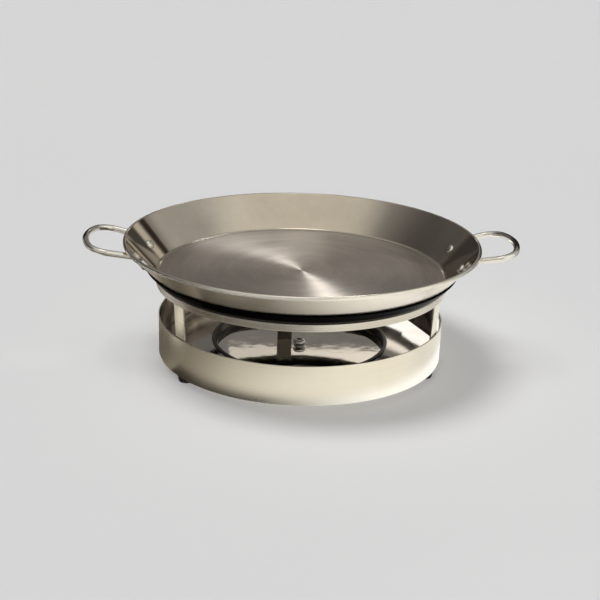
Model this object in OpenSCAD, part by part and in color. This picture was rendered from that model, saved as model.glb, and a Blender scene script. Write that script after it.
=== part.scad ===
// Paella burner: a steel pan with two loop handles, seated in a black collar
// on a hoop that three strip legs carry over a low round base with a fuel dish.
// Millimetres, Z up, origin on the table under the middle of the base.

/* [Pan] */
// Outer diameter of the pan at its rim
pan_d = 400; // [360:5:440]
// Depth inside the pan, from the rim to the floor
pan_depth = 39.3; // [35:0.1:46]
// Slope of the pan's wall, in degrees from upright
wall_slope = 41; // [37:0.5:45]
// Sheet thickness of the pan
pan_t = 1.5; // [1:0.1:2.5]
// Width of the flat lip round the rim
lip_w = 3; // [2.5:0.5:6]
// Height of the lip's turned-down edge
lip_h = 4; // [3:0.5:5]
// Inside radius where the floor turns up into the wall
floor_fillet = 6; // [3:0.5:9]

/* [Handles] */
// Diameter of the handle rod
rod_d = 7; // [5:0.5:9]
// Direction of the right handle, in degrees from +X; the left one is opposite
handle_turn = 3; // [-12:1:12]
// How far a handle reaches past the rim
handle_reach = 45; // [40:1:56]
// Width of a handle's loop, between rod centres
handle_span = 92; // [78:1:98]
// Length of the rounded end of the loop
loop_rise = 26; // [25:1:34]
// Radius of the two shoulders of the loop
shoulder_r = 21; // [16:1:24]
// Angle at which the two rods close up towards the pan
toe_in = 10; // [0:1:14]
// Angle at which the loop rises towards its end
handle_tilt = 11; // [4:1:16]
// Width of the plate that carries a handle, along the wall
plate_w = 104; // [100:1:120]
// Height of the plate
plate_h = 20; // [17:0.5:21]
// Thickness of the plate
plate_t = 2; // [1.5:0.1:3]
// Drop from the underside of the lip to the top of the plate
plate_drop = 6; // [5:0.5:7]
// Distance between the two rivets of a plate
rivet_spacing = 74; // [50:1:80]
// Diameter of a rivet's shank
rivet_d = 5; // [3:0.5:6]
// Diameter of a rivet's domed head
rivet_head_d = 12; // [8:0.5:13]
// Height of a rivet's domed head
rivet_head_h = 2.6; // [1.5:0.1:4]

/* [Seat and hoop] */
// Running gap between the pan's wall and its seat
seat_gap = 0.35; // [0.2:0.05:1]
// Sheet thickness of the seat
seat_t = 1.2; // [0.8:0.1:2.5]
// Width of the ledge that the pan's floor rests on
ledge_w = 14; // [10:1:24]
// Radius of the rolled edge of the seat
seat_bead_r = 0.9; // [0.6:0.1:1.4]
// Height of the crease that stiffens the seat
crease_h = 0.7; // [0.3:0.1:1.5]
// Height of the seat above the hoop
seat_h = 12.6; // [9:0.1:16]
// Gap kept between a handle plate and the seat, which is notched where the plate would reach it
notch_clear = 0.8; // [0.6:0.1:3]
// Height of the hoop's strip
hoop_h = 8; // [6:0.5:12]
// Thickness of the hoop's strip
hoop_t = 2; // [1.2:0.1:3]

/* [Legs] */
// Width of a leg's strip
leg_w = 19; // [12:0.5:26]
// Thickness of a leg's strip
leg_t = 2; // [1.5:0.1:4]
// Height of the open gap between the base and the hoop
air_gap = 38.5; // [24:0.5:50]
// Direction of the rear leg, in degrees from +X
rear_leg_turn = 97; // [90:1:104]

/* [Base] */
// Outer diameter of the round band
band_d = 324; // [310:1:334]
// Height of the band
band_h = 44; // [34:1:60]
// Sheet thickness of the band
band_t = 1.5; // [1:0.1:2.5]
// Gap under the band, above the table
foot_drop = 7; // [6:0.5:9]
// Height of the tray's underside above the band's lower edge
tray_lift = 4; // [4:0.5:8]
// Sheet thickness of the tray
tray_t = 1.2; // [0.8:0.1:2]
// Height of the tray's turned-down edge
tray_edge_h = 3; // [2:0.1:4]
// Width of the flat part of the tray, over the feet
tray_flat_w = 20; // [17:1:26]
// Height that the tray gains from its flat part to its opening
tray_rise = 5.5; // [4:0.1:8]

/* [Burner dish] */
// Diameter of the fuel dish, outside its wall
dish_d = 196; // [150:1:220]
// Depth inside the dish, from its flange to its floor
dish_depth = 9.7; // [8:0.1:13]
// Sheet thickness of the dish
dish_t = 1; // [0.6:0.1:1.5]
// Width of the flange that rests on the tray
dish_flange_w = 3.5; // [2.5:0.5:10]
// Gap between the dish and the opening of the tray
dish_clear = 0.5; // [0.3:0.1:1.5]
// Inside radius where the dish's floor turns up
dish_fillet = 2; // [1:0.5:4]
// Diameter of the knob's domed head
knob_d = 14; // [10:0.5:18]
// Height of the knob, without its washer
knob_h = 6.5; // [5.5:0.5:9]
// Diameter of the knob's neck
knob_neck_d = 7; // [5.5:0.5:8]
// Diameter of the screw that holds the knob
knob_screw_d = 3; // [2:0.5:4]

/* [Feet] */
// Diameter of a rubber foot's pad
foot_d = 18; // [16:1:24]
// Distance from the band's outer face in to the foot's pad
foot_edge = 0.3; // [0:0.1:4]
// Diameter of the threaded stud inside a foot
stud_d = 5; // [3:0.5:5.5]

/* [Hidden] */
$fn = 128;

// Overrun of every cut, gap left between welded or riveted faces, and room round a fastener
cut = 1;
weld_gap = 0.1;
hole_clear = 0.2;
arc_steps = 12;
rod_sides = 20;
leg_count = 3;
leg_pitch = 360 / leg_count;

// Heights, from the table up
band_z = foot_drop;
band_top_z = band_z + band_h;
tray_z = band_z + tray_lift;
tray_top_z = tray_z + tray_t;
hoop_z = band_top_z + air_gap;
hoop_top_z = hoop_z + hoop_h;
pan_z = hoop_top_z + seat_t;
floor_z = pan_z + pan_t;
rim_z = floor_z + pan_depth;
lip_z = rim_z - pan_t;
plate_top_z = lip_z - plate_drop;
plate_z = plate_top_z - plate_h;
seat_top_z = hoop_top_z + seat_h;
notch_z = plate_z - notch_clear;
dish_seat_z = tray_top_z + tray_rise;
dish_floor_z = dish_seat_z + dish_t - dish_depth;

// Radii
rim_r = pan_d / 2;
wall_top_r = rim_r - lip_w;
lip_bend_share = 0.8;
lip_bend_r = lip_bend_share * pan_t;
floor_r = wall_top_r - pan_depth * tan(wall_slope);
band_in_r = band_d / 2 - band_t;
seat_off = pan_t + seat_gap;
seat_outer_off = seat_off + seat_t;
hoop_r = wall_r(hoop_top_z, seat_outer_off);
hoop_in_r = hoop_r - hoop_t;
ledge_in_r = wall_r(pan_z, seat_off) - ledge_w;
dish_r = dish_d / 2;
tray_edge_r = band_in_r - weld_gap;
foot_r = band_d / 2 - foot_edge - foot_d / 2;

// Seat details
crease_share = 0.42;
crease_z = hoop_top_z + crease_share * (seat_top_z - hoop_top_z);

// Handle plate, rivets and loop
right_turn = handle_turn;
left_turn = handle_turn + 180;
plate_off = pan_t + weld_gap;
plate_outer_off = plate_off + plate_t;
rivet_up_share = 0.265;
root_up_share = 0.785;
rivet_z = plate_z + rivet_up_share * plate_h;
root_z = plate_z + root_up_share * plate_h;
root_r = wall_r(root_z, plate_outer_off);
plate_angle = arc_angle(plate_w, root_r);
notch_angle = plate_angle + 2 * arc_angle(notch_clear, root_r);
rivet_angle = arc_angle(rivet_spacing, wall_r(rivet_z, plate_off));
loop_tip = (rim_r + handle_reach - rod_d / 2 - root_r) / cos(handle_tilt);
loop_start = loop_tip - loop_rise;
shoulder_y = handle_span / 2 - shoulder_r;
tip_rise = loop_rise - shoulder_r;
tip_back = (shoulder_y * shoulder_y - tip_rise * tip_rise) / (2 * tip_rise);
tip_half_angle = atan2(shoulder_y, tip_back);

// Knob and its fasteners
knob_washer_t = 0.8;
knob_washer_d = knob_d - knob_screw_d / 2;
knob_neck_share = 0.45;
knob_neck_h = knob_neck_share * knob_h;
screw_head_h = 1.1;
screw_head_d = 2 * knob_screw_d;
screw_grip_share = 0.6;
knob_z = dish_floor_z + knob_washer_t;
screw_tip_z = knob_z + screw_grip_share * knob_h;

// Foot and its fasteners
foot_toe = 1.5;
foot_chamfer = 1;
nut_d_share = 1.85;
washer_d_share = 2;
washer_t = 1;
nut_h_share = 0.48;
bore_d = washer_d_share * stud_d + 4 * hole_clear;
nut_h = nut_h_share * stud_d;
foot_gap = 0.4;
pad_h = band_z - foot_gap;
neck_r = tray_edge_r - tray_t - foot_gap - foot_r;
bore_share = 0.8;
foot_bore_h = bore_share * pad_h;
washer_z = foot_bore_h - washer_t;
nut_z = washer_z - nut_h;

// Radius, at height z, of the cone that lies a given distance outside the pan's inner wall
function wall_r(z, off) = floor_r + (z - floor_z) * tan(wall_slope) + off / cos(wall_slope);

// Point of that cone in the section plane
function wall_point(z, off) = [wall_r(z, off), z];

// Angle that a length takes up on a circle
function arc_angle(length, r) = length / r * 180 / PI;

// Points of an arc in the section plane, from one angle to another
function arc_points(centre, r, from, to) =
    [for (i = [0:arc_steps]) let (a = from + (to - from) * i / arc_steps) centre + r * [cos(a), sin(a)]];

// Section of a ring between two radii and two heights
module ring(r_in, r_out, z, h)
    rotate_extrude()
        translate([r_in, z])
            square([r_out - r_in, h]);

// A section swept through an angle, centred on a direction
module sector(angle, turn)
    rotate([0, 0, turn - angle / 2])
        rotate_extrude(angle = angle)
            children();

// Direction of a leg and of the foot under it: rear, left, right
function leg_turn(i) = rear_leg_turn + i * leg_pitch;

// Places its children under one leg, at the feet's circle
module at_foot(i)
    rotate([0, 0, leg_turn(i)])
        translate([foot_r, 0, 0])
            children();

// Places its children on the wall at a rivet, with Z along the rivet and zero on the inner wall
module at_rivet(turn)
    rotate([0, 0, turn])
        translate([wall_r(rivet_z, 0), 0, rivet_z])
            rotate([0, 90 + wall_slope, 0])
                children();

module pan_shell() {
    fillet_run = floor_fillet * tan((90 - wall_slope) / 2);
    centre = [floor_r - fillet_run, floor_z + floor_fillet];
    color("silver")
        difference() {
            rotate_extrude()
                polygon(concat(
                    [[0, pan_z]],
                    arc_points(centre, floor_fillet + pan_t, -90, -wall_slope),
                    [wall_point(lip_z, pan_t), [rim_r - pan_t, lip_z]],
                    arc_points([rim_r - pan_t / 2, rim_z - lip_h + pan_t / 2], pan_t / 2, -180, 0),
                    arc_points([rim_r - lip_bend_r, rim_z - lip_bend_r], lip_bend_r, 0, 90),
                    [[wall_top_r, rim_z]],
                    arc_points(centre, floor_fillet, -wall_slope, -90),
                    [[0, floor_z]]));
            for (side = [left_turn, right_turn], way = [-1, 1])
                at_rivet(side + way * rivet_angle / 2)
                    translate([0, 0, -cut])
                        cylinder(d = rivet_d + hole_clear, h = pan_t + 2 * cut);
        }
}

// Steps along an arc of the handle rod, each with its place and heading in the loop's plane
function rod_arc(centre, r, from, to, first) =
    [for (i = [first:arc_steps]) let (a = from + (to - from) * i / arc_steps)
        concat(centre + r * [cos(a), sin(a)], [a + 90])];

// Ring of points round the rod at one step
function rod_ring(step) =
    [for (k = [0:rod_sides - 1]) let (a = 360 * k / rod_sides, side = rod_d / 2 * cos(a))
        [step[0] - side * sin(step[2]), step[1] + side * cos(step[2]), rod_d / 2 * sin(a)]];

// Straight rod, shoulder, rounded end, shoulder and straight rod, as one unbroken tube
module rod_loop() {
    turn = 90 + toe_in;
    leg_y = shoulder_y + shoulder_r * cos(toe_in);
    sagitta = root_r - sqrt(root_r * root_r - leg_y * leg_y);
    leg_x = loop_start - shoulder_r * sin(toe_in);
    leg_l = leg_x + sagitta + rod_d;
    root = [leg_x - leg_l * cos(toe_in), leg_y - leg_l * sin(toe_in)];
    steps = concat(
        [[root[0], -root[1], -toe_in]],
        rod_arc([loop_start, -shoulder_y], shoulder_r, -turn, -tip_half_angle, 0),
        rod_arc([loop_start - tip_back, 0], tip_back + loop_rise, -tip_half_angle, tip_half_angle, 1),
        rod_arc([loop_start, shoulder_y], shoulder_r, tip_half_angle, turn, 1),
        [[root[0], root[1], 180 + toe_in]]);
    last = len(steps) - 1;
    polyhedron(
        points = [for (step = steps) each rod_ring(step)],
        faces = concat(
            [[for (k = [0:rod_sides - 1]) k]],
            [for (j = [0:last - 1], k = [0:rod_sides - 1])
                let (a = j * rod_sides + k, b = j * rod_sides + (k + 1) % rod_sides)
                    each [[a, a + rod_sides, b], [b, a + rod_sides, b + rod_sides]]],
            [[for (k = [rod_sides - 1:-1:0]) last * rod_sides + k]]));
}

// Loop of bent rod, cut to lie against its plate
module handle(turn)
    rotate([0, 0, turn])
        difference() {
            translate([root_r, 0, root_z])
                rotate([0, -handle_tilt, 0])
                    rod_loop();
            rotate_extrude()
                polygon([[0, pan_z], wall_point(pan_z, plate_outer_off + weld_gap),
                    wall_point(rim_z, plate_outer_off + weld_gap), [0, rim_z]]);
        }

module left_handle() color("gainsboro") handle(left_turn);
module right_handle() color("gainsboro") handle(right_turn);

// Plate bent to the wall, drilled for its two rivets
module handle_plate(turn)
    difference() {
        sector(plate_angle, turn)
            polygon([wall_point(plate_z, plate_off), wall_point(plate_z, plate_outer_off),
                wall_point(plate_top_z, plate_outer_off), wall_point(plate_top_z, plate_off)]);
        for (way = [-1, 1])
            at_rivet(turn + way * rivet_angle / 2)
                cylinder(d = rivet_d + hole_clear, h = plate_outer_off + cut);
    }

module left_handle_plate() color("darkgray") handle_plate(left_turn);
module right_handle_plate() color("darkgray") handle_plate(right_turn);

// Domed head of a rivet, with its flat at zero and its crown along Z
module rivet_head() {
    crown_r = (rivet_head_d * rivet_head_d / 4 + rivet_head_h * rivet_head_h) / (2 * rivet_head_h);
    crown_turn = asin(rivet_head_d / 2 / crown_r);
    rotate_extrude()
        polygon(concat([[0, 0]],
            arc_points([0, rivet_head_h - crown_r], crown_r, 90 - crown_turn, 90)));
}

// Two rivets of one handle, each with a head inside the pan and one on the plate
module handle_rivets(turn)
    for (way = [-1, 1])
        at_rivet(turn + way * rivet_angle / 2) {
            translate([0, 0, -weld_gap])
                cylinder(d = rivet_d, h = plate_outer_off + 2 * weld_gap);
            translate([0, 0, -weld_gap])
                mirror([0, 0, 1])
                    rivet_head();
            translate([0, 0, plate_outer_off + weld_gap])
                rivet_head();
        }

module left_handle_rivets() color("white") handle_rivets(left_turn);
module right_handle_rivets() color("white") handle_rivets(right_turn);

// Black collar: a flat ledge under the pan's floor and a cone that follows the pan's wall,
// notched where a handle plate would reach its edge
module pan_seat()
    color("black")
        difference() {
            rotate_extrude() {
                polygon([[ledge_in_r, hoop_top_z], [hoop_r, hoop_top_z],
                    wall_point(crease_z, seat_outer_off + crease_h),
                    wall_point(seat_top_z, seat_outer_off), wall_point(seat_top_z, seat_off),
                    wall_point(pan_z, seat_off), [ledge_in_r, pan_z]]);
                translate(wall_point(seat_top_z, seat_off + seat_bead_r))
                    circle(r = seat_bead_r);
            }
            for (turn = [left_turn, right_turn])
                sector(notch_angle, turn)
                    translate([ledge_in_r, notch_z])
                        square([rim_r - ledge_in_r, rim_z - notch_z]);
        }

module support_ring() color("silver") ring(hoop_in_r, hoop_r, hoop_z, hoop_h);

// Strip leg: flat on the band inside, stepped out to lie inside the hoop
module leg(i) {
    low_r = tray_edge_r;
    high_r = hoop_in_r - weld_gap;
    sector(arc_angle(leg_w, low_r), leg_turn(i))
        polygon([[low_r - leg_t, tray_top_z], [low_r, tray_top_z], [low_r, band_top_z], [high_r, hoop_z],
            [high_r, hoop_top_z], [high_r - leg_t, hoop_top_z], [high_r - leg_t, hoop_z],
            [low_r - leg_t, band_top_z]]);
}

module rear_leg() color("lightgray") leg(0);
module left_leg() color("lightgray") leg(1);
module right_leg() color("lightgray") leg(2);

module base_band() color("silver") ring(band_in_r, band_d / 2, band_z, band_h);

// Tray, turned down inside the band, flat over the feet and raised in a low cone to its opening
module tray() {
    opening_r = dish_r + dish_clear;
    bend_r = tray_edge_r - tray_flat_w;
    color("silver")
        rotate_extrude()
            polygon([[tray_edge_r, tray_z - tray_edge_h], [tray_edge_r, tray_top_z], [bend_r, tray_top_z],
                [opening_r, dish_seat_z], [opening_r, dish_seat_z - tray_t], [bend_r, tray_z],
                [tray_edge_r - tray_t, tray_z], [tray_edge_r - tray_t, tray_z - tray_edge_h]]);
}

// Rubber foot: a pad under the band's edge, a neck up to the tray, a hidden bore for nut and washer
module foot(i)
    at_foot(i)
        difference() {
            rotate_extrude()
                polygon([[0, 0], [foot_d / 2 - foot_toe, 0], [foot_d / 2 - foot_toe / 2, foot_chamfer],
                    [foot_d / 2, pad_h - foot_chamfer], [foot_d / 2 - foot_chamfer, pad_h],
                    [neck_r, pad_h], [neck_r, tray_z], [0, tray_z]]);
            translate([0, 0, -cut])
                cylinder(d = bore_d, h = foot_bore_h + cut);
            cylinder(d = stud_d + 2 * hole_clear, h = tray_z + cut);
        }

module rear_foot() color("dimgray") foot(0);
module left_foot() color("dimgray") foot(1);
module right_foot() color("dimgray") foot(2);

module foot_studs()
    color("gray")
        for (i = [0:leg_count - 1])
            at_foot(i)
                translate([0, 0, nut_z])
                    cylinder(d = stud_d, h = tray_z - nut_z);

module foot_washers()
    color("gray")
        for (i = [0:leg_count - 1])
            at_foot(i)
                ring(stud_d / 2 + hole_clear, washer_d_share * stud_d / 2, washer_z, washer_t);

module foot_nuts()
    color("gray")
        for (i = [0:leg_count - 1])
            at_foot(i)
                translate([0, 0, nut_z])
                    difference() {
                        cylinder(d = nut_d_share * stud_d, h = nut_h, $fn = 6);
                        translate([0, 0, -cut])
                            cylinder(d = stud_d + hole_clear, h = nut_h + 2 * cut);
                    }

// Drop-in fuel dish: flange on the tray's raised edge, upright wall, flat floor drilled for its knob
module burner_dish() {
    in_r = dish_r - dish_t;
    flange_r = dish_r + dish_flange_w;
    centre = [in_r - dish_fillet, dish_floor_z + dish_fillet];
    color("silver")
        difference() {
            rotate_extrude()
                polygon(concat(
                    [[0, dish_floor_z - dish_t]],
                    arc_points(centre, dish_fillet + dish_t, -90, 0),
                    [[dish_r, dish_seat_z]],
                    arc_points([flange_r - dish_t / 2, dish_seat_z + dish_t / 2], dish_t / 2, -90, 90),
                    [[in_r, dish_seat_z + dish_t]],
                    arc_points(centre, dish_fillet, 0, -90),
                    [[0, dish_floor_z]]));
            translate([0, 0, dish_floor_z - dish_t - cut])
                cylinder(d = knob_screw_d + 2 * hole_clear, h = dish_t + 2 * cut);
        }
}

// Domed knob on a narrow neck, bored for its screw
module dish_knob() {
    head_h = knob_h - knob_neck_h;
    color("silver")
        translate([0, 0, knob_z])
            difference() {
                rotate_extrude()
                    polygon(concat(
                        [[0, 0], [knob_neck_d / 2, 0], [knob_neck_d / 2, knob_neck_h]],
                        [for (i = [0:arc_steps]) let (a = 90 * i / arc_steps)
                            [knob_d / 2 * cos(a), knob_neck_h + head_h * sin(a)]]));
                translate([0, 0, -cut])
                    cylinder(d = knob_screw_d + hole_clear, h = screw_tip_z - knob_z + hole_clear + cut);
            }
}

module knob_washer()
    color("gray")
        ring(knob_screw_d / 2 + hole_clear, knob_washer_d / 2, dish_floor_z, knob_washer_t);

// Screw driven up through the dish's floor into the knob
module knob_screw() {
    head_z = dish_floor_z - dish_t - screw_head_h;
    color("gray")
        translate([0, 0, head_z]) {
            cylinder(d = screw_head_d, h = screw_head_h);
            cylinder(d = knob_screw_d, h = screw_tip_z - head_z);
        }
}

pan_shell();
left_handle();
right_handle();
left_handle_plate();
right_handle_plate();
left_handle_rivets();
right_handle_rivets();
pan_seat();
support_ring();
rear_leg();
left_leg();
right_leg();
base_band();
tray();
rear_foot();
left_foot();
right_foot();
foot_studs();
foot_washers();
foot_nuts();
burner_dish();
dish_knob();
knob_washer();
knob_screw();
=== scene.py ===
"""Paella burner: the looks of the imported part, built round its fixed frame.

Lengths of the part, and of the cards near it, are in millimetres, as in the part's source, and MM turns them
into metres. Places on the floor, of the lamp and of the camera are in metres.
"""

import math

import bmesh
import bpy
from mathutils import Matrix, Vector


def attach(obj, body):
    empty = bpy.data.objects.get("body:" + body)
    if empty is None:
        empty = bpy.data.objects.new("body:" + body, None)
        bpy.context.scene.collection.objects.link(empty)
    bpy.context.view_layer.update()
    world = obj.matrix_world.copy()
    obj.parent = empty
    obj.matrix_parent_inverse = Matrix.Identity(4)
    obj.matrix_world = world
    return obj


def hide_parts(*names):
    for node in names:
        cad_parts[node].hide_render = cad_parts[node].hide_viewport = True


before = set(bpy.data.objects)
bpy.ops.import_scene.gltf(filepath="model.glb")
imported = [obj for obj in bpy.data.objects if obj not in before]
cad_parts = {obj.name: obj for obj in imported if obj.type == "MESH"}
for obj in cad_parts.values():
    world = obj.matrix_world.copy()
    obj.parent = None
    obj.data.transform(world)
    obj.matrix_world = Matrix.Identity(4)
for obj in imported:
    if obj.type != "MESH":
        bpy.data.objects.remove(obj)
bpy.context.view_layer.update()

# Sizes of the part, from its source
MM = 0.001
RIM_R, RIM_Z, LIP_W, LIP_Z, LIP_H = 200, 139.5, 3, 138, 4
PAN_T, PAN_Z, FLOOR_Z = 1.5, 98.7, 100.2
WALL_SLOPE = math.radians(41)
FLOOR_R = RIM_R - LIP_W - (RIM_Z - FLOOR_Z) * math.tan(WALL_SLOPE)

HANDLE_TURN = 3
ROD_R, HANDLE_REACH, HANDLE_SPAN = 3.5, 45, 92
LOOP_RISE, SHOULDER_R = 26, 21
TOE_IN, HANDLE_TILT = math.radians(10), math.radians(11)
PLATE_Z, PLATE_TOP_Z, PLATE_W, PLATE_T, PLATE_GAP = 112, 132, 104, 2, 0.1
ROOT_Z, RIVET_Z, RIVET_SPACING = 127.7, 117.3, 74
RIVET_HEAD_R, RIVET_HEAD_H = 6, 2.6

SEAT_GAP, SEAT_T, SEAT_TOP_Z = 0.35, 1.2, 110.1
LEDGE_W, CREASE_Z, CREASE_H = 14, 102.792, 0.7
HOOP_Z, HOOP_TOP_Z, HOOP_T = 89.5, 97.5, 2

LEG_W, LEG_T, LEG_GAP = 19, 2, 0.1
LEG_TURNS = {"rear": 97, "left": 217, "right": 337}
BAND_R, BAND_IN_R, BAND_Z, BAND_TOP_Z = 162, 160.5, 7, 51
TRAY_R, TRAY_Z, TRAY_TOP_Z, TRAY_T = 160.4, 11, 12.2, 1.2
TRAY_EDGE_Z, TRAY_BEND_R, OPENING_R = 8, 140.4, 98.5

DISH_R, DISH_IN_R, FLANGE_R = 98, 97, 101.5
DISH_SEAT_Z, DISH_FLOOR_Z, DISH_T, DISH_FILLET = 17.7, 9, 1, 2
KNOB_Z, KNOB_TOP_Z, KNOB_R, NECK_R, NECK_TOP_Z = 9.8, 16.3, 7, 3.5, 12.725
KNOB_BORE_R, KNOB_BORE_Z, SCREW_HOLE_R = 1.6, 13.9, 1.7

FOOT_PLACE_R, FOOT_R, FOOT_PAD_Z = 152.7, 9, 6.6
FOOT_NECK_R, FOOT_BORE_R, FOOT_BORE_Z, STUD_HOLE_R = 6.1, 5.4, 5.28, 2.7

# Small forms that only the scene has
SEAT_BEAD_R, ROD_EASE = 0.9, 0.08
WELD_W, WELD_DEPTH, WELD_FLARE = 1.6, 0.5, 1.18
BRIM_W, BRIM_H, CROWN_R = 0.4, 1.2, 3.4
KNOB_CAP_R, KNOB_CAP_H = 5.6, 0.9
SOLE_INSET, HEEL_INSET, HEEL_Z, FOOT_CHAMFER = 1.5, 0.75, 1, 1

# Roundings, each as the run from a corner along its two sides
FLOOR_RUN, FLOOR_UNDER_RUN = 2.7, 3.2
LIP_IN_RUN, LIP_OUT_RUN, LIP_UNDER_RUN, SKIRT_RUN = 0.8, 1.8, 0.3, 0.74
BRIM_RUN, DOME_RUN, CROWN_RUN = 0.2, 1.0, 2.0
LEDGE_RUN, CREASE_RUN, BEAD_RUN = 0.5, 1.6, 0.97 * SEAT_BEAD_R
HOOP_RUN, LEG_BEND_RUN, BAND_LOW_RUN, BAND_TOP_RUN = 0.6, 3, 0.5, 0.6
TRAY_EDGE_RUN, TRAY_CORNER_RUN, TRAY_UNDER_RUN, TRAY_BEND_RUN = 0.4, 1.6, 0.6, 8
DISH_SEAT_RUN, FLANGE_RUN, DISH_RIM_RUN = 0.4, 0.48, 0.8
NECK_LOW_RUN, NECK_TOP_RUN, KNOB_LOW_RUN, KNOB_TOP_RUN = 0.4, 0.9, 0.6, 1.0
FOOT_BORE_RUN, SOLE_RUN, HEEL_RUN, FOOT_SIDE_RUN, FOOT_TOP_RUN = 0.4, 0.5, 0.6, 0.7, 0.3
PLATE_BEVEL, LEG_BEVEL = 0.5, 0.4

# Fineness of the meshes
ROUND_STEPS, PLATE_STEPS, LEG_STEPS, SMALL_STEPS, RIVET_STEPS = 192, 24, 8, 48, 40
CORNER_STEPS, PAN_CORNER_STEPS, KNOB_CORNER_STEPS, BEVEL_STEPS = 4, 6, 8, 3
ROD_SIDES, BEND_STEPS = 24, 14
MERGE = 1e-6
SHARP_ANGLE, BEVEL_ANGLE = math.radians(50), math.radians(40)


def wall_r(z, off):
    """Radius of the cone that lies a given distance outside the pan's inner wall."""
    return FLOOR_R + (z - FLOOR_Z) * math.tan(WALL_SLOPE) + off / math.cos(WALL_SLOPE)


def arc_angle(length, r):
    return math.degrees(length / r)


SEAT_OFF = PAN_T + SEAT_GAP
SEAT_OUTER = SEAT_OFF + SEAT_T
PLATE_OFF = PAN_T + PLATE_GAP
PLATE_OUTER = PLATE_OFF + PLATE_T
HOOP_R = wall_r(HOOP_TOP_Z, SEAT_OUTER)
HOOP_IN_R = HOOP_R - HOOP_T
ROOT_R = wall_r(ROOT_Z, PLATE_OUTER)


# Making a piece
def turn_round(bm, degrees):
    bmesh.ops.rotate(bm, verts=bm.verts[:], cent=(0, 0, 0),
                     matrix=Matrix.Rotation(math.radians(degrees), 3, "Z"))


def turned(outline, sweep=360, start=0, corner_steps=CORNER_STEPS, steps=ROUND_STEPS):
    """A bmesh turned from an outline of (radius, height, corner run) points, all the way or part of it."""
    bm = bmesh.new()
    verts = [bm.verts.new((p[0] * MM, 0, p[1] * MM)) for p in outline]
    runs = [(v, p[2]) for v, p in zip(verts, outline) if len(p) > 2]
    bm.faces.new(verts)
    for vert, run in runs:
        bmesh.ops.bevel(bm, geom=[vert], offset=run * MM, offset_type="OFFSET", affect="VERTICES",
                        segments=corner_steps, profile=0.5, material=-1)
    whole = sweep == 360
    if whole:
        bmesh.ops.delete(bm, geom=bm.faces[:], context="FACES_ONLY")
    bmesh.ops.spin(bm, geom=bm.verts[:] + bm.edges[:] + bm.faces[:], cent=(0, 0, 0), axis=(0, 0, 1),
                   angle=math.radians(sweep), steps=steps, use_merge=whole)
    turn_round(bm, start)
    return bm


def piece(name, body, slot, finish, *shapes, replaces=(), bevel=0):
    """Closes the shapes into one object that rides on a body and stands for its CAD nodes."""
    whole = bmesh.new()
    for shape in shapes:
        bmesh.ops.remove_doubles(shape, verts=shape.verts[:], dist=MERGE)
        bmesh.ops.recalc_face_normals(shape, faces=shape.faces[:])
        part = bpy.data.meshes.new("part")
        shape.to_mesh(part)
        shape.free()
        whole.from_mesh(part)
        bpy.data.meshes.remove(part)
    for face in whole.faces:
        face.smooth = True
    for edge in whole.edges:
        edge.smooth = len(edge.link_faces) == 2 and edge.calc_face_angle(0) < SHARP_ANGLE
    mesh = bpy.data.meshes.new(name)
    whole.to_mesh(mesh)
    whole.free()
    mesh.materials.append(finish)
    made = show(name, mesh)
    if bevel:
        rounding = made.modifiers.new("rounded_edges", "BEVEL")
        rounding.width = bevel * MM
        rounding.segments = BEVEL_STEPS
        rounding.limit_method = "ANGLE"
        rounding.angle_limit = BEVEL_ANGLE
    made.modifiers.new("flat_faces", "WEIGHTED_NORMAL").keep_sharp = True
    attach(made, body)
    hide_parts(*replaces)


def show(name, data):
    made = bpy.data.objects.new(name, data)
    bpy.context.scene.collection.objects.link(made)
    return made


# Making a finish
FINE_RELIEF, WAVE_RELIEF, GRAIN_RELIEF = 0.0004, 0.002, 0.0003
# Darker tint painted as shade on the inside faces of the band and the legs, where the steel is also smoother
INSIDE_SHADE_TINT, INSIDE_ROUGH_SHARE = (0.42, 0.38, 0.33), 0.4
# Near-black tint painted as shade at the fuel dish's rim and round the knob's neck and top, where the steel
# is also rougher
PAINTED_SHADE_TINT, SHADED_ROUGH = (0.05, 0.045, 0.04), 0.25
FLOOR_ROUGH, WALL_ROUGH, OUTSIDE_ROUGH = (0.285, 0.325), (0.06, 0.12), 0.14
STREAKS_BETWEEN, DUST_BETWEEN = (0.36, 0.64), (0.5, 0.8)


def node(tree, kind, sockets=None, **props):
    """Adds one shader node. A socket given as another node's output is linked, any other value is set."""
    made = tree.nodes.new("ShaderNode" + kind)
    for key, value in props.items():
        setattr(made, key, value)
    for key, value in (sockets or {}).items():
        if isinstance(value, bpy.types.NodeSocket):
            tree.links.new(value, made.inputs[key])
        else:
            made.inputs[key].default_value = value
    return made


def new_finish(name):
    finish = bpy.data.materials.new(name)
    finish.use_nodes = True
    finish.node_tree.nodes.clear()
    return finish, finish.node_tree


def close_finish(tree, shader):
    node(tree, "OutputMaterial", {"Surface": shader.outputs[0]})


def math_node(tree, operation, a, b):
    return node(tree, "Math", {0: a, 1: b}, operation=operation).outputs[0]


def spread(tree, value, low, high, between=(0.3, 0.7)):
    """Maps a value between two limits, as noise mostly is, to a range."""
    return node(tree, "MapRange", {"Value": value, "From Min": between[0], "From Max": between[1],
                                   "To Min": low, "To Max": high}).outputs[0]


def smooth_step(tree, value, low, high):
    return node(tree, "MapRange", {"Value": value, "From Min": low, "From Max": high},
                interpolation_type="SMOOTHSTEP").outputs[0]


def tinted(tree, share, first, second):
    """Mixes two tints, each a colour or another node's output."""
    first, second = (t if isinstance(t, bpy.types.NodeSocket) else (*t, 1) for t in (first, second))
    return node(tree, "Mix", {"Factor": share, "A": first, "B": second}, data_type="RGBA").outputs["Result"]


def blend(tree, first, second, share):
    """Adds two noise values, the first with its share and the second with the rest."""
    return math_node(tree, "ADD", math_node(tree, "MULTIPLY", first, share),
                     math_node(tree, "MULTIPLY", second, 1 - share))


def cloudy(tree, place, scale, detail=4.0, rough=0.55):
    return node(tree, "TexNoise", {"Vector": place, "Scale": scale, "Detail": detail,
                                   "Roughness": rough}).outputs[0]


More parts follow.
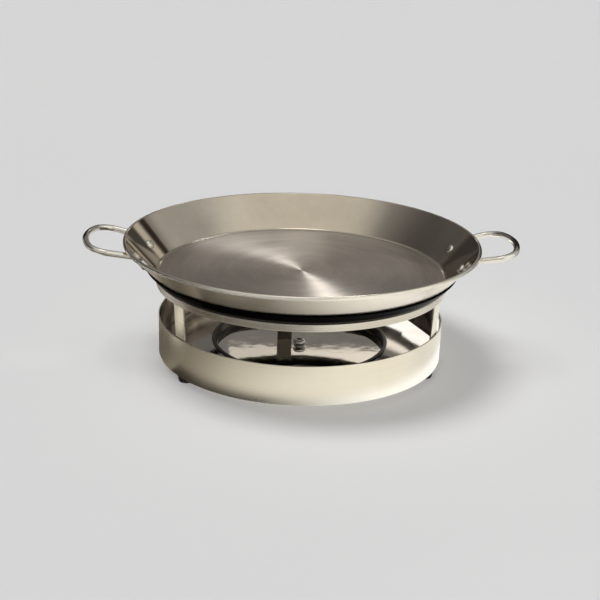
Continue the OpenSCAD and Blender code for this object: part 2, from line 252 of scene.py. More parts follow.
class RoundLines:
    """Coordinates for lines that run round the upright axis, as brushing and spinning leave them."""

    def __init__(self, tree):
        self.tree = tree
        self.place = node(tree, "TexCoord").outputs["Object"]
        x, y, self.z = node(tree, "SeparateXYZ", {0: self.place}).outputs
        flat = node(tree, "CombineXYZ", {0: x, 1: y}).outputs[0]
        self.r = node(tree, "VectorMath", {0: flat}, operation="LENGTH").outputs["Value"]
        self.cos, self.sin = math_node(tree, "DIVIDE", x, self.r), math_node(tree, "DIVIDE", y, self.r)
        rise = node(tree, "CombineXYZ", {0: x, 1: y, 2: self.r}).outputs[0]
        self.across = node(tree, "VectorMath", {0: rise}, operation="NORMALIZE").outputs["Vector"]

    def lines(self, fine, length, detail=5.0):
        """Noise that changes fast across the lines, and slowly along them."""
        tree = self.tree
        spot = node(tree, "CombineXYZ", {0: math_node(tree, "MULTIPLY", self.r, fine),
                                         1: math_node(tree, "MULTIPLY", self.z, fine),
                                         2: math_node(tree, "MULTIPLY", self.cos, length)}).outputs[0]
        return node(tree, "TexNoise", {"Vector": spot, "W": math_node(tree, "MULTIPLY", self.sin, length),
                                       "Scale": 1.0, "Detail": detail, "Roughness": 0.7},
                    noise_dimensions="4D").outputs[0]


def turned_steel(name, dark, light, rough, bump, line_share=0.6, inside_shade_r=None):
    """Steel with lines round the upright axis, handling marks and, inside a radius, a darker tint of painted
    shade with a smoother shine.
    """
    finish, tree = new_finish(name)
    around = RoundLines(tree)
    lines = around.lines(fine=300, length=1.5)
    both = blend(tree, lines, cloudy(tree, around.place, scale=14), line_share)
    relief = node(tree, "Bump", {"Strength": bump, "Distance": FINE_RELIEF, "Height": lines})
    tint, roughness = tinted(tree, spread(tree, both, 0, 1), dark, light), spread(tree, both, *rough)
    # Painted shade: inside the radius the tint is darker, and the steel is smoother
    if inside_shade_r:
        inside_shaded = math_node(tree, "LESS_THAN", around.r, inside_shade_r * MM)
        shine = spread(tree, inside_shaded, 1, INSIDE_ROUGH_SHARE, between=(0, 1))
        roughness = math_node(tree, "MULTIPLY", roughness, shine)
        tint = tinted(tree, inside_shaded, tint, INSIDE_SHADE_TINT)
    close_finish(tree, node(tree, "BsdfPrincipled", {
        "Base Color": tint, "Metallic": 1.0, "Roughness": roughness, "Anisotropic": 0.3,
        "Tangent": around.across, "Normal": relief.outputs[0]}))
    return finish


def spun_pan_steel(name, floor_edge, floor_tints, wall_tints, outside_tint, lip_highlight_tint):
    """The pan's sheet: a floor brushed in rings, a smooth wall that is duller outside, and a lip painted
    lighter as a highlight.
    """
    finish, tree = new_finish(name)
    around = RoundLines(tree)
    on_floor = smooth_step(tree, around.r, floor_edge[1] * MM, floor_edge[0] * MM)
    on_lip = math_node(tree, "GREATER_THAN", around.r, (RIM_R - LIP_W) * MM)
    wall_rise = 1 / math.tan(WALL_SLOPE)
    sheet_middle = math_node(tree, "ADD", math_node(tree, "MULTIPLY", around.r, wall_rise),
                             (FLOOR_Z - FLOOR_R * wall_rise - PAN_T / 2) * MM)
    outside = math_node(tree, "LESS_THAN", around.z, sheet_middle)

    rings = around.lines(fine=70, length=1.2, detail=3.0)
    streaks = blend(tree, around.lines(fine=520, length=3.0), rings, share=0.45)
    marks = cloudy(tree, around.place, scale=16, detail=5.0, rough=0.6)
    wall_tint = tinted(tree, spread(tree, marks, 0, 1), *wall_tints)
    # The lip's lighter tint is a painted highlight
    wall_tint = tinted(tree, on_lip, tinted(tree, outside, wall_tint, outside_tint), lip_highlight_tint)
    floor_tint = tinted(tree, spread(tree, streaks, 0, 1, STREAKS_BETWEEN), *floor_tints)
    wall_rough = math_node(tree, "ADD", spread(tree, marks, *WALL_ROUGH),
                           math_node(tree, "MULTIPLY", outside, OUTSIDE_ROUGH))
    floor_rough = spread(tree, streaks, *FLOOR_ROUGH, STREAKS_BETWEEN)
    rough = node(tree, "Mix", {"Factor": on_floor, "A": wall_rough, "B": floor_rough}).outputs["Result"]
    relief = node(tree, "Bump", {"Strength": 0.05, "Distance": FINE_RELIEF, "Height": rings})
    close_finish(tree, node(tree, "BsdfPrincipled", {
        "Base Color": tinted(tree, on_floor, wall_tint, floor_tint), "Metallic": 1.0, "Roughness": rough,
        "Anisotropic": 0.88, "Tangent": around.across, "Normal": relief.outputs[0]}))
    return finish


def polished_steel(name, dark, light, rough, wave=0.0, wave_scale=20, painted_shade=None):
    """Bright steel with smears and the slow waves of thin sheet, and shade painted dark from one radius to
    another.
    """
    finish, tree = new_finish(name)
    place = node(tree, "TexCoord").outputs["Object"]
    smears = cloudy(tree, place, scale=30, detail=6.0, rough=0.65)
    waves = cloudy(tree, place, wave_scale, detail=1.0)
    relief = node(tree, "Bump", {"Strength": wave, "Distance": WAVE_RELIEF, "Height": waves})
    tint, roughness = tinted(tree, spread(tree, smears, 0, 1), dark, light), spread(tree, smears, *rough)
    # Painted shade: a dark tint from one radius to another
    if painted_shade:
        unshaded_r, black_r = painted_shade
        black = smooth_step(tree, RoundLines(tree).r, unshaded_r * MM, black_r * MM)
        tint = tinted(tree, black, tint, PAINTED_SHADE_TINT)
        roughness = math_node(tree, "ADD", roughness, math_node(tree, "MULTIPLY", black, SHADED_ROUGH))
    close_finish(tree, node(tree, "BsdfPrincipled", {
        "Base Color": tint, "Metallic": 1.0, "Roughness": roughness, "Normal": relief.outputs[0]}))
    return finish


def black_enamel(name, clean, dusty):
    """Gloss enamel with a fine orange peel and patches of dust."""
    finish, tree = new_finish(name)
    place = node(tree, "TexCoord").outputs["Object"]
    peel = cloudy(tree, place, scale=420, detail=2.0)
    dust = cloudy(tree, place, scale=35, detail=6.0, rough=0.7)
    relief = node(tree, "Bump", {"Strength": 0.05, "Distance": FINE_RELIEF, "Height": peel})
    close_finish(tree, node(tree, "BsdfPrincipled", {
        "Base Color": tinted(tree, spread(tree, dust, 0, 1, DUST_BETWEEN), clean, dusty),
        "Roughness": spread(tree, dust, 0.14, 0.28), "Specular IOR Level": 0.01,
        "Normal": relief.outputs[0]}))
    return finish


def grained_rubber(name, fresh, worn):
    """Matt rubber with a fine grain and paler wear."""
    finish, tree = new_finish(name)
    place = node(tree, "TexCoord").outputs["Object"]
    grain = cloudy(tree, place, scale=900, detail=3.0)
    wear = cloudy(tree, place, scale=120, detail=5.0)
    relief = node(tree, "Bump", {"Strength": 0.35, "Distance": GRAIN_RELIEF, "Height": grain})
    close_finish(tree, node(tree, "BsdfPrincipled", {
        "Base Color": tinted(tree, spread(tree, wear, 0, 1), fresh, worn),
        "Roughness": spread(tree, wear, 0.55, 0.8), "Specular IOR Level": 0.3,
        "Normal": relief.outputs[0]}))
    return finish


# The pan's lip is painted lighter than its wall, as a highlight
PAN_STEEL = spun_pan_steel(
    "spun_pan_steel", floor_edge=(158.5, 163.5), floor_tints=((0.44, 0.415, 0.40), (0.60, 0.555, 0.51)),
    wall_tints=((0.60, 0.545, 0.46), (0.70, 0.645, 0.555)), outside_tint=(0.78, 0.725, 0.625),
    lip_highlight_tint=(0.88, 0.84, 0.755))
HANDLE_STEEL = polished_steel("polished_rod_steel", (0.78, 0.76, 0.70), (0.92, 0.90, 0.85), (0.05, 0.10))
PLATE_STEEL = polished_steel("satin_plate_steel", (0.46, 0.43, 0.39), (0.60, 0.57, 0.52), (0.22, 0.34))
RIVET_STEEL = polished_steel("polished_rivet_steel", (0.70, 0.68, 0.64), (0.82, 0.80, 0.76), (0.10, 0.18))
SEAT_ENAMEL = black_enamel("gloss_black_enamel", (0.0006, 0.0006, 0.0006), (0.003, 0.0028, 0.0026))
# The strip legs are painted darker on their inside faces, as shade
STRIP_STEEL = turned_steel("satin_strip_steel", (0.78, 0.73, 0.62), (0.90, 0.86, 0.76), (0.22, 0.30),
                           bump=0.04, inside_shade_r=159.2)
HOOP_STEEL = turned_steel("satin_hoop_steel", (0.61, 0.57, 0.485), (0.71, 0.68, 0.60), (0.22, 0.30),
                          bump=0.04)
# The band is painted darker on its inner wall, as shade
BAND_STEEL = turned_steel("satin_band_steel", (0.78, 0.73, 0.62), (0.90, 0.86, 0.76), (0.26, 0.34),
                          bump=0.02, line_share=0.3, inside_shade_r=161)
# The tray's tint is darker than the dish's, as painted shade for its place inside the band under the pan
TRAY_STEEL = polished_steel("bright_tray_steel", (0.44, 0.41, 0.38), (0.54, 0.51, 0.47), (0.07, 0.15),
                            wave=0.02)
# The dish is painted dark from near its floor's edge outwards, as shade at its rim
DISH_STEEL = polished_steel("mirror_dish_steel", (0.60, 0.57, 0.53), (0.68, 0.65, 0.61), (0.02, 0.05),
                            wave=0.02, wave_scale=60, painted_shade=(94.5, 96.5))
# The knob is painted dark round its neck and at the middle of its top, as shade
KNOB_STEEL = polished_steel("polished_knob_steel", (0.70, 0.68, 0.64), (0.80, 0.78, 0.75), (0.08, 0.14),
                            painted_shade=(4.0, 3.2))
FOOT_RUBBER = grained_rubber("black_foot_rubber", (0.012, 0.012, 0.012), (0.03, 0.029, 0.028))
ZINC = polished_steel("zinc_plate", (0.42, 0.42, 0.43), (0.58, 0.58, 0.58), (0.3, 0.45))

# The pan
skirt_z = RIM_Z - LIP_H
spun_pan = turned([
    (0, FLOOR_Z), (FLOOR_R, FLOOR_Z, FLOOR_RUN),
    (RIM_R - LIP_W, RIM_Z, LIP_IN_RUN), (RIM_R, RIM_Z, LIP_OUT_RUN),
    (RIM_R, skirt_z, SKIRT_RUN), (RIM_R - PAN_T, skirt_z, SKIRT_RUN), (RIM_R - PAN_T, LIP_Z, LIP_UNDER_RUN),
    (wall_r(LIP_Z, PAN_T), LIP_Z, LIP_UNDER_RUN), (wall_r(PAN_Z, PAN_T), PAN_Z, FLOOR_UNDER_RUN), (0, PAN_Z)],
    corner_steps=PAN_CORNER_STEPS)
piece("spun_pan", "pan", "pan_steel", PAN_STEEL, spun_pan, replaces=["pan_shell"])


# The handles, their plates and rivets
def ring_verts(edges):
    return list(dict.fromkeys(v for e in edges for v in e.verts))


def middle_of(verts):
    return sum((v.co for v in verts), Vector()) / len(verts)


def lay_on_plate(verts, along, off):
    """Slides the end of a rod along itself until it lies in the cone at that distance from the pan's wall."""
    middle = middle_of(verts)
    to_side = Matrix.Rotation(math.atan2(middle.y, middle.x), 3, "Z")
    spot = to_side @ Vector((wall_r(ROOT_Z, off) * MM, 0, ROOT_Z * MM))
    facing = to_side @ Vector((math.cos(WALL_SLOPE), 0, -math.sin(WALL_SLOPE)))
    for v in verts:
        v.co += along * ((spot - v.co).dot(facing) / along.dot(facing))


def run_on(bm, edges, step):
    """Carries a ring of edges on by a step, and gives the new ring."""
    made = bmesh.ops.extrude_edge_only(bm, edges=edges)["geom"]
    verts = {g for g in made if isinstance(g, bmesh.types.BMVert)}
    bmesh.ops.translate(bm, verts=list(verts), vec=step * MM)
    return [g for g in made if isinstance(g, bmesh.types.BMEdge) and verts.issuperset(g.verts)]


def bend_on(bm, edges, centre, angle):
    """Carries a ring of edges on round a centre in the loop's plane, and gives the new ring."""
    made = bmesh.ops.spin(bm, geom=ring_verts(edges) + edges, cent=Vector(centre) * MM, axis=(0, 0, 1),
                          angle=angle, steps=BEND_STEPS, use_merge=False)["geom_last"]
    return [g for g in made if isinstance(g, bmesh.types.BMEdge)]


def bent_rod(turn):
    """Loop of rod welded to its plate: a straight, a shoulder, the rounded end, a shoulder, a straight."""
    tip = (RIM_R + HANDLE_REACH - ROD_R - ROOT_R) / math.cos(HANDLE_TILT)
    loop_x = tip - LOOP_RISE
    shoulder_y = HANDLE_SPAN / 2 - SHOULDER_R
    tip_rise = LOOP_RISE - SHOULDER_R
    tip_back = (shoulder_y ** 2 - tip_rise ** 2) / (2 * tip_rise)
    tip_half = math.atan2(shoulder_y, tip_back)
    shoulder_turn = math.pi / 2 + TOE_IN - tip_half
    out = Vector((math.cos(TOE_IN), -math.sin(TOE_IN), 0))
    bend = Vector((loop_x - SHOULDER_R * math.sin(TOE_IN), -shoulder_y - SHOULDER_R * math.cos(TOE_IN), 0))
    root = bend - out * (bend.x / out.x)
    mirrored = Vector((1, -1, 1))

    bm = bmesh.new()
    upright = out.to_track_quat("Z", "Y").to_matrix().to_4x4()
    bmesh.ops.create_circle(bm, radius=(ROD_R - ROD_EASE) * MM, segments=ROD_SIDES,
                            matrix=Matrix.Translation(root * MM) @ upright)
    first = bm.edges[:]
    last = run_on(bm, first, bend - root)
    last = bend_on(bm, last, (loop_x, -shoulder_y, 0), shoulder_turn)
    last = bend_on(bm, last, (loop_x - tip_back, 0, 0), 2 * tip_half)
    last = bend_on(bm, last, (loop_x, shoulder_y, 0), shoulder_turn)
    last = run_on(bm, last, (root - bend) * mirrored)

    tilt = Matrix.Rotation(-HANDLE_TILT, 4, "Y")
    to_plate = Matrix.Translation((ROOT_R * MM, 0, ROOT_Z * MM))
    bmesh.ops.transform(bm, verts=bm.verts[:], matrix=to_plate @ tilt)
    for edges, along in ((first, out), (last, out * mirrored)):
        along = tilt.to_3x3() @ along
        lay_on_plate(ring_verts(edges), along, PLATE_OUTER + WELD_W)
        toe = ring_verts(run_on(bm, edges, along * -WELD_W))
        lay_on_plate(toe, along, PLATE_OUTER - WELD_DEPTH)
        bmesh.ops.scale(bm, vec=(WELD_FLARE,) * 3, space=Matrix.Translation(-middle_of(toe)), verts=toe)
    bmesh.ops.holes_fill(bm, edges=bm.edges[:], sides=ROD_SIDES)
    turn_round(bm, turn)
    return bm


def at_rivet(bm, turn):
    """Moves a shape made on the upright axis to a rivet's place, with its base on the pan's inner wall."""
    bmesh.ops.transform(bm, verts=bm.verts[:], matrix=Matrix.Rotation(math.radians(turn), 4, "Z")
                        @ Matrix.Translation((wall_r(RIVET_Z, 0) * MM, 0, RIVET_Z * MM))
                        @ Matrix.Rotation(math.pi / 2 + WALL_SLOPE, 4, "Y"))
    return bm


def rivet_heads(turn):
    """Head inside the pan and head on the plate: a low dome with a narrow brim."""
    dome = [(0, 0), (RIVET_HEAD_R, 0, BRIM_RUN), (RIVET_HEAD_R - BRIM_W, BRIM_H, DOME_RUN),
            (CROWN_R, RIVET_HEAD_H, CROWN_RUN), (0, RIVET_HEAD_H)]
    inner = turned([(r, -z, *run) for r, z, *run in dome], steps=RIVET_STEPS)
    outer = turned([(r, PLATE_OUTER + z, *run) for r, z, *run in dome], steps=RIVET_STEPS)
    return [at_rivet(bm, turn) for bm in (inner, outer)]


plate_angle = arc_angle(PLATE_W, ROOT_R)
rivet_angle = arc_angle(RIVET_SPACING, wall_r(RIVET_Z, PLATE_OFF))
plate_outline = [(wall_r(z, off), z) for z, off in (
    (PLATE_Z, PLATE_OFF), (PLATE_Z, PLATE_OUTER), (PLATE_TOP_Z, PLATE_OUTER), (PLATE_TOP_Z, PLATE_OFF))]
for side, turn in (("right", HANDLE_TURN), ("left", HANDLE_TURN + 180)):
    piece(f"{side}_handle_loop", "pan", "handle_steel", HANDLE_STEEL, bent_rod(turn),
          replaces=[f"{side}_handle"])
    plate = turned(plate_outline, plate_angle, turn - plate_angle / 2, steps=PLATE_STEPS)
    piece(f"{side}_bent_plate", "pan", "plate_steel", PLATE_STEEL, plate,
          replaces=[f"{side}_handle_plate"], bevel=PLATE_BEVEL)
    heads = rivet_heads(turn - rivet_angle / 2) + rivet_heads(turn + rivet_angle / 2)
    piece(f"{side}_rivet_heads", "pan", "rivet_steel", RIVET_STEEL, *heads,
          replaces=[f"{side}_handle_rivets"])

# The black collar
ledge_in = wall_r(PAN_Z, SEAT_OFF) - LEDGE_W
collar = turned([
    (ledge_in, HOOP_TOP_Z, LEDGE_RUN), (HOOP_R, HOOP_TOP_Z),
    (wall_r(CREASE_Z, SEAT_OUTER + CREASE_H), CREASE_Z, CREASE_RUN),
    (wall_r(SEAT_TOP_Z, SEAT_OUTER), SEAT_TOP_Z), (wall_r(SEAT_TOP_Z, SEAT_OFF), SEAT_TOP_Z),
    (wall_r(PAN_Z, SEAT_OFF), PAN_Z), (ledge_in, PAN_Z, LEDGE_RUN)])
bead_mid = wall_r(SEAT_TOP_Z, SEAT_OFF + SEAT_BEAD_R)
bead = turned([(bead_mid + x * SEAT_BEAD_R, SEAT_TOP_Z + z * SEAT_BEAD_R, BEAD_RUN)
               for x, z in ((-1, -1), (1, -1), (1, 1), (-1, 1))])
piece("black_collar", "stand", "seat_enamel", SEAT_ENAMEL, collar, bead, replaces=["pan_seat"])

# The hoop, the legs and the round base
hoop = turned([(HOOP_IN_R, HOOP_Z, HOOP_RUN), (HOOP_R, HOOP_Z, HOOP_RUN),
               (HOOP_R, HOOP_TOP_Z, HOOP_RUN), (HOOP_IN_R, HOOP_TOP_Z, HOOP_RUN)])
piece("carrying_hoop", "stand", "stand_steel", HOOP_STEEL, hoop, replaces=["support_ring"])

leg_out, leg_top = TRAY_R, HOOP_IN_R - LEG_GAP
leg_angle = arc_angle(LEG_W, leg_out)
for side, turn in LEG_TURNS.items():
    strip = turned([
        (leg_out - LEG_T, TRAY_TOP_Z), (leg_out, TRAY_TOP_Z),
        (leg_out, BAND_TOP_Z, LEG_BEND_RUN), (leg_top, HOOP_Z, LEG_BEND_RUN),
        (leg_top, HOOP_TOP_Z), (leg_top - LEG_T, HOOP_TOP_Z),
        (leg_top - LEG_T, HOOP_Z, LEG_BEND_RUN), (leg_out - LEG_T, BAND_TOP_Z, LEG_BEND_RUN)],
        leg_angle, turn - leg_angle / 2, steps=LEG_STEPS)
    piece(f"{side}_strip_leg", "stand", "stand_steel", STRIP_STEEL, strip,
          replaces=[f"{side}_leg"], bevel=LEG_BEVEL)

band = turned([(BAND_IN_R, BAND_Z, BAND_LOW_RUN), (BAND_R, BAND_Z, BAND_LOW_RUN),
               (BAND_R, BAND_TOP_Z, BAND_TOP_RUN), (BAND_IN_R, BAND_TOP_Z, BAND_TOP_RUN)])
piece("round_band", "stand", "stand_steel", BAND_STEEL, band, replaces=["base_band"])

tray = turned([
    (TRAY_R, TRAY_EDGE_Z, TRAY_EDGE_RUN), (TRAY_R, TRAY_TOP_Z, TRAY_CORNER_RUN),
    (TRAY_BEND_R, TRAY_TOP_Z, TRAY_BEND_RUN), (OPENING_R, DISH_SEAT_Z, TRAY_EDGE_RUN),
    (OPENING_R, DISH_SEAT_Z - TRAY_T, TRAY_EDGE_RUN), (TRAY_BEND_R, TRAY_Z, TRAY_BEND_RUN),
    (TRAY_R - TRAY_T, TRAY_Z, TRAY_UNDER_RUN), (TRAY_R - TRAY_T, TRAY_EDGE_Z, TRAY_EDGE_RUN)])
piece("bright_tray", "stand", "tray_steel", TRAY_STEEL, tray, replaces=["tray"])

# The fuel dish and its knob
flange_top, dish_under = DISH_SEAT_Z + DISH_T, DISH_FLOOR_Z - DISH_T
dish = turned([
    (SCREW_HOLE_R, dish_under), (DISH_R, dish_under, DISH_FILLET + DISH_T),
    (DISH_R, DISH_SEAT_Z, DISH_SEAT_RUN), (FLANGE_R, DISH_SEAT_Z, FLANGE_RUN),
    (FLANGE_R, flange_top, FLANGE_RUN), (DISH_IN_R, flange_top, DISH_RIM_RUN),
    (DISH_IN_R, DISH_FLOOR_Z, DISH_FILLET), (SCREW_HOLE_R, DISH_FLOOR_Z)])
piece("mirror_dish", "dish", "dish_steel", DISH_STEEL, dish, replaces=["burner_dish"])

knob = turned([
    (0, KNOB_BORE_Z), (KNOB_BORE_R, KNOB_BORE_Z), (KNOB_BORE_R, KNOB_Z), (NECK_R, KNOB_Z, NECK_LOW_RUN),
    (NECK_R, NECK_TOP_Z, NECK_TOP_RUN), (KNOB_R, NECK_TOP_Z, KNOB_LOW_RUN),
    (KNOB_R, KNOB_TOP_Z - KNOB_CAP_H, KNOB_TOP_RUN), (KNOB_CAP_R, KNOB_TOP_Z, KNOB_TOP_RUN), (0, KNOB_TOP_Z)],
    corner_steps=KNOB_CORNER_STEPS, steps=SMALL_STEPS)
piece("domed_knob", "dish", "knob_steel", KNOB_STEEL, knob, replaces=["dish_knob"])

# The feet, and the fasteners that the frame already has
for side, turn in LEG_TURNS.items():
    foot = turned([
        (STUD_HOLE_R, TRAY_Z), (STUD_HOLE_R, FOOT_BORE_Z), (FOOT_BORE_R, FOOT_BORE_Z),
        (FOOT_BORE_R, 0, FOOT_BORE_RUN), (FOOT_R - SOLE_INSET, 0, SOLE_RUN),
        (FOOT_R - HEEL_INSET, HEEL_Z, HEEL_RUN), (FOOT_R, FOOT_PAD_Z - FOOT_CHAMFER, FOOT_SIDE_RUN),
        (FOOT_R - FOOT_CHAMFER, FOOT_PAD_Z, FOOT_TOP_RUN), (FOOT_NECK_R, FOOT_PAD_Z, FOOT_TOP_RUN),
        (FOOT_NECK_R, TRAY_Z)], steps=SMALL_STEPS)
    bmesh.ops.transform(foot, verts=foot.verts[:], matrix=Matrix.Rotation(math.radians(turn), 4, "Z")
                        @ Matrix.Translation((FOOT_PLACE_R * MM, 0, 0)))
    piece(f"{side}_rubber_foot", "stand", "foot_rubber", FOOT_RUBBER, foot, replaces=[f"{side}_foot"])

for name in ("foot_studs", "foot_washers", "foot_nuts", "knob_washer", "knob_screw"):
    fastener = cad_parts[name]
    fastener.data.materials.clear()
    fastener.data.materials.append(ZINC)

# Floor, light and what the steel reflects
FLOOR_GREY = (0.68, 0.68, 0.68)
FLOOR_WIDTH, POOLS_WIDTH, POOLS_Z = 16, 3, 0.0005
RING_STEPS, PAST_FIRST_BOUNCE = 96, 1.5
WALL_CARD_LEVEL, DARK_CARD_LEVEL = (1.9, 1.87, 1.8), (0.02, 0.018, 0.016)


def stage_piece(name, bm, finish):
    """Makes a shape a piece of the stage."""
    mesh = bpy.data.meshes.new(name)
    bm.to_mesh(mesh)
    bm.free()
    mesh.materials.append(finish)
    made = show(name, mesh)
    return made


def only_in_reflections(made):
    made.visible_camera = made.visible_diffuse = made.visible_shadow = made.visible_transmission = False


def floor_sheet(name, width, z, finish):
    bm = bmesh.new()
    bmesh.ops.create_grid(bm, x_segments=1, y_segments=1, size=width / 2,
                          matrix=Matrix.Translation((0, 0, z)))
    return stage_piece(name, bm, finish)


def plain_finish(name, colour):
    finish, tree = new_finish(name)
    close_finish(tree, node(tree, "BsdfPrincipled", {"Base Color": (*colour, 1), "Roughness": 0.9,
                                                     "Specular IOR Level": 0.1}))
    return finish


def floor_pools(name, pools):
    """Soft light and dark pools over the floor, each (centre, radii, edge as a share of them, level)."""
    finish, tree = new_finish(name)
    place = node(tree, "TexCoord").outputs["Object"]
    shader = node(tree, "BsdfTransparent")
    for centre, radii, edge, level in pools:
        away = node(tree, "VectorMath", {0: place, 1: (*centre, 0)}, operation="SUBTRACT").outputs["Vector"]
        scaled = node(tree, "VectorMath", {0: away, 1: (*radii, 1)}, operation="DIVIDE").outputs["Vector"]
        out = node(tree, "VectorMath", {0: scaled}, operation="LENGTH").outputs["Value"]
        glow = node(tree, "Emission", {"Color": (*level, 1)})
        shader = node(tree, "MixShader", {0: smooth_step(tree, out, 1 + edge, 1 - edge), 1: shader.outputs[0],
                                          2: glow.outputs[0]})
    close_finish(tree, shader)
    return finish


def side_glow(name, left, right, x):
    """A glow seen from the front of its faces, whose level goes from left to right over a stretch of x."""
    finish, tree = new_finish(name)
    along = node(tree, "SeparateXYZ", {0: node(tree, "TexCoord").outputs["Object"]}).outputs[0]
    to_right = smooth_step(tree, along, x[0] * MM, x[1] * MM)
    glow = node(tree, "Emission", {"Color": tinted(tree, to_right, left, right)})
    behind = node(tree, "NewGeometry").outputs["Backfacing"]
    close_finish(tree, node(tree, "MixShader", {0: behind, 1: glow.outputs[0],
                                                2: node(tree, "BsdfTransparent").outputs[0]}))
    return finish


def floor_ring(name, r, z, sweep, start, finish):
    """A thin ring just over the floor, part of the way round, seen only in the steel."""
    bm = turned([(r[0], z[0]), (r[1], z[0]), (r[1], z[1]), (r[0], z[1])], sweep, start, steps=RING_STEPS)
    bmesh.ops.recalc_face_normals(bm, faces=bm.faces[:])
    only_in_reflections(stage_piece(name, bm, finish))


def upright_card(name, x, y, z, left, right=None):
    """A flat upright card seen only in the steel, with one level or a left and a right one."""
    bm = bmesh.new()
    corners = ((x[0], y[0], z[0]), (x[1], y[1], z[0]), (x[1], y[1], z[1]), (x[0], y[0], z[1]))
    bm.faces.new([bm.verts.new(Vector(corner) * MM) for corner in corners])
    only_in_reflections(stage_piece(name, bm, side_glow(name, left, right or left, x)))


def sunlight(name, way, energy, angle, shadow):
    """Even light on the floor, which reflections do not show."""
    data = bpy.data.lights.new(name, "SUN")
    data.energy, data.angle, data.use_shadow = energy, math.radians(angle), shadow
    made = show(name, data)
    made.rotation_euler = Vector(way).to_track_quat("-Z", "Y").to_euler()
    made.visible_glossy = False


def glint_lamp(name, place, width, energy, colour):
    """A small round lamp that only a first reflection shows, as a glint fanned out over the pan's floor."""
    data = bpy.data.lights.new(name, "AREA")
    data.shape, data.size, data.energy, data.color = "DISK", width, energy, colour
    data.use_nodes = True
    tree = data.node_tree
    tree.nodes.clear()
    first_bounce = math_node(tree, "LESS_THAN", node(tree, "LightPath").outputs["Ray Depth"],
                             PAST_FIRST_BOUNCE)
    node(tree, "OutputLight", {"Surface": node(tree, "Emission", {"Strength": first_bounce}).outputs[0]})
    made = show(name, data)
    made.location = place
    made.rotation_euler = (-made.location).to_track_quat("-Z", "Y").to_euler()
    made.visible_diffuse = made.visible_camera = False


def sky(turn, rise):
    """The direction of a turn from +X towards +Y and a rise above the table, in degrees."""
    turn, rise = math.radians(turn), math.radians(rise)
    return Vector((math.cos(turn) * math.cos(rise), math.sin(turn) * math.cos(rise), math.sin(rise)))


def soft_room(base, panels, even, backdrop):
    """The room: for the steel a base level and soft panels, each (direction, half angle, edge, level), for
    other surfaces an even level, and a backdrop where the view passes the floor."""
    world = bpy.data.worlds.new("soft_room")
    world.use_nodes = True
    tree = world.node_tree
    tree.nodes.clear()
    way = node(tree, "TexCoord").outputs["Generated"]
    level = node(tree, "CombineColor", dict(enumerate(base))).outputs[0]
    for direction, half, edge, colour in panels:
        facing = node(tree, "VectorMath", {0: way, 1: direction}, operation="DOT_PRODUCT").outputs["Value"]
        outer, inner = math.cos(math.radians(half + edge)), math.cos(math.radians(half - edge))
        level = tinted(tree, smooth_step(tree, facing, outer, inner), level, colour)
    reflected = node(tree, "Background", {"Color": level}).outputs[0]
    plain = node(tree, "Background", {"Color": (*even, 1)}).outputs[0]
    seen = node(tree, "Background", {"Color": (*backdrop, 1)}).outputs[0]
    path = node(tree, "LightPath").outputs
    unseen = node(tree, "MixShader", {0: path["Is Glossy Ray"], 1: plain, 2: reflected}).outputs[0]
    either = node(tree, "MixShader", {0: path["Is Camera Ray"], 1: unseen, 2: seen}).outputs[0]
    node(tree, "OutputWorld", {"Surface": either})
    bpy.context.scene.world = world


floor_sheet("floor", FLOOR_WIDTH, 0, plain_finish("pale_grey_floor", FLOOR_GREY))
only_in_reflections(floor_sheet("floor_glow", POOLS_WIDTH, POOLS_Z, floor_pools("floor_glow", (
    ((-0.42, -0.24), (0.46, 0.25), 0.30, (0.13, 0.11, 0.088)),
    ((-0.20, 0.02), (0.075, 0.13), 0.30, (0.12, 0.105, 0.082)),
    ((-0.26, 0.14), (0.07, 0.08), 0.40, (0.36, 0.31, 0.26)),
    ((-0.11, -0.39), (0.20, 0.11), 0.40, (0.11, 0.095, 0.078)),
    ((0.32, -0.52), (0.26, 0.14), 0.40, (1.25, 1.22, 1.15)),
    ((0.23, 0.12), (0.10, 0.14), 0.40, (0.95, 0.93, 0.88)),
    ((-0.15, -0.16), (0.09, 0.10), 0.50, (0.30, 0.27, 0.22)),
    ((0.42, -0.16), (0.26, 0.22), 0.40, (0.95, 0.92, 0.85)),
    ((0.14, -0.22), (0.28, 0.13), 0.45, (0.96, 0.92, 0.83)),
    ((-0.298, -0.040), (0.050, 0.035), 0.30, (1.0, 0.95, 0.82)),
    ((-0.62, 0.62), (0.36, 0.60), 0.30, (0.08, 0.07, 0.06)),
    ((0.66, 0.70), (0.36, 0.60), 0.30, (0.08, 0.07, 0.06)),
))))
# Seen in the steel, this ring's dark left end is painted shade on the floor by the base, and its bright right
# end is painted light
floor_ring("contact_ring", r=(163, 192), z=(0.6, 0.7), sweep=205, start=205,
           finish=side_glow("contact_ring", (0.03, 0.026, 0.022), (1.30, 1.31, 1.33), x=(-75, 130)))
upright_card("far_card", x=(-210, 250), y=(2000, 2000), z=(832, 905),
             left=(0.78, 0.73, 0.64), right=(1.15, 1.06, 0.93))
upright_card("rear_right_card", x=(115, 195), y=(225, 150), z=(62, 112), left=(1.6, 1.5, 1.33))
# Glowing cards inside the band, seen only in the steel, paint a bright reflection along the foot of the
# band's inner wall at the back right
upright_card("wall_card_near", x=(131.8, 155.5), y=(88.9, 33), z=(13, 32), left=WALL_CARD_LEVEL)
upright_card("wall_card_far", x=(110.5, 131.8), y=(114.4, 88.9), z=(13, 28), left=WALL_CARD_LEVEL)
upright_card("right_dark_card", x=(216, 330), y=(112, 112), z=(95, 190), left=DARK_CARD_LEVEL)
upright_card("left_dark_card", x=(-330, -243), y=(112, 112), z=(95, 190), left=DARK_CARD_LEVEL)
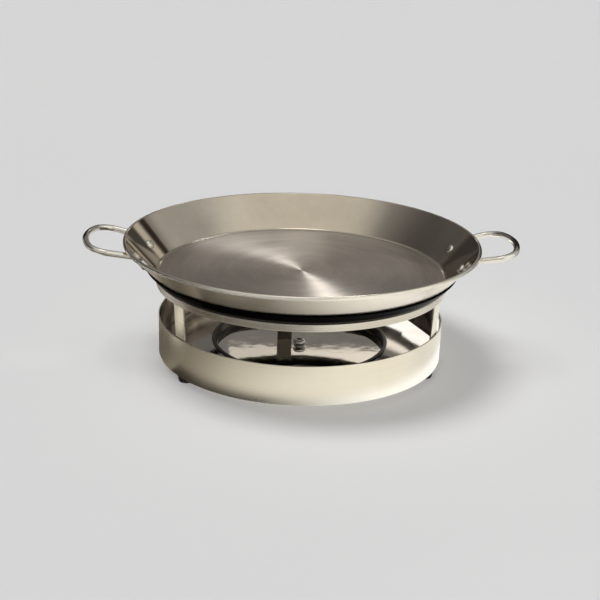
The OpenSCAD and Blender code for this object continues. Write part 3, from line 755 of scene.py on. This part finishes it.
sunlight("daylight", way=(0.28, -0.04, -0.96), energy=1.45, angle=24, shadow=True)
sunlight("fill", way=(0, 0, -1), energy=1.54, angle=30, shadow=False)
glint_lamp("glint", place=(0.12495, 0.693, 0.777), width=0.13, energy=1.0, colour=(1, 0.97, 0.92))
soft_room(base=(0.45, 0.44, 0.42), panels=(
    (sky(90, 11), 42, 6, (0.22, 0.205, 0.19)),
    (sky(163, 6), 44, 21, (0.08, 0.073, 0.071)),
    (sky(-84, 64), 34, 14, (0.72, 0.69, 0.62)),
    (sky(-30, 20), 34, 10, (1.0, 0.97, 0.90)),
    (sky(0, 90), 8, 4, (2.0, 1.95, 1.85)),
    (sky(110, 8), 12, 4, (0.05, 0.045, 0.04)),
    (sky(60.5, 14.5), 3.2, 1.5, (0.62, 0.57, 0.48)),
    (sky(53.5, 19.5), 2.8, 1.2, (0.03, 0.022, 0.015)),
    (sky(70, 8.5), 5.8, 1.5, (0.07, 0.062, 0.057)),
    (sky(67, 17), 3.4, 1.5, (0.08, 0.07, 0.06)),
), even=(0.06, 0.06, 0.06), backdrop=FLOOR_GREY)

# The camera, fitted to the rim, the hoop and the band
CAMERA_AIM, CAMERA_D = Vector((-0.0008, 0, 0.0644)), 1.3
CAMERA_RISE, CAMERA_ROLL = math.radians(19.91), math.radians(1.85)
LENS, SENSOR_W, NEAREST, FARTHEST = 67.97, 36, 0.05, 50
lens = bpy.data.cameras.new("photo_camera")
lens.lens, lens.sensor_width = LENS, SENSOR_W
lens.clip_start, lens.clip_end = NEAREST, FARTHEST
camera = show("photo_camera", lens)
camera.location = CAMERA_AIM + CAMERA_D * Vector((0, -math.cos(CAMERA_RISE), math.sin(CAMERA_RISE)))
camera.rotation_mode = "QUATERNION"
camera.rotation_quaternion = ((CAMERA_AIM - camera.location).to_track_quat("-Z", "Y").to_matrix()
                              @ Matrix.Rotation(CAMERA_ROLL, 3, "Z")).to_quaternion()
bpy.context.scene.camera = camera
bpy.context.scene.view_settings.view_transform = "Standard"
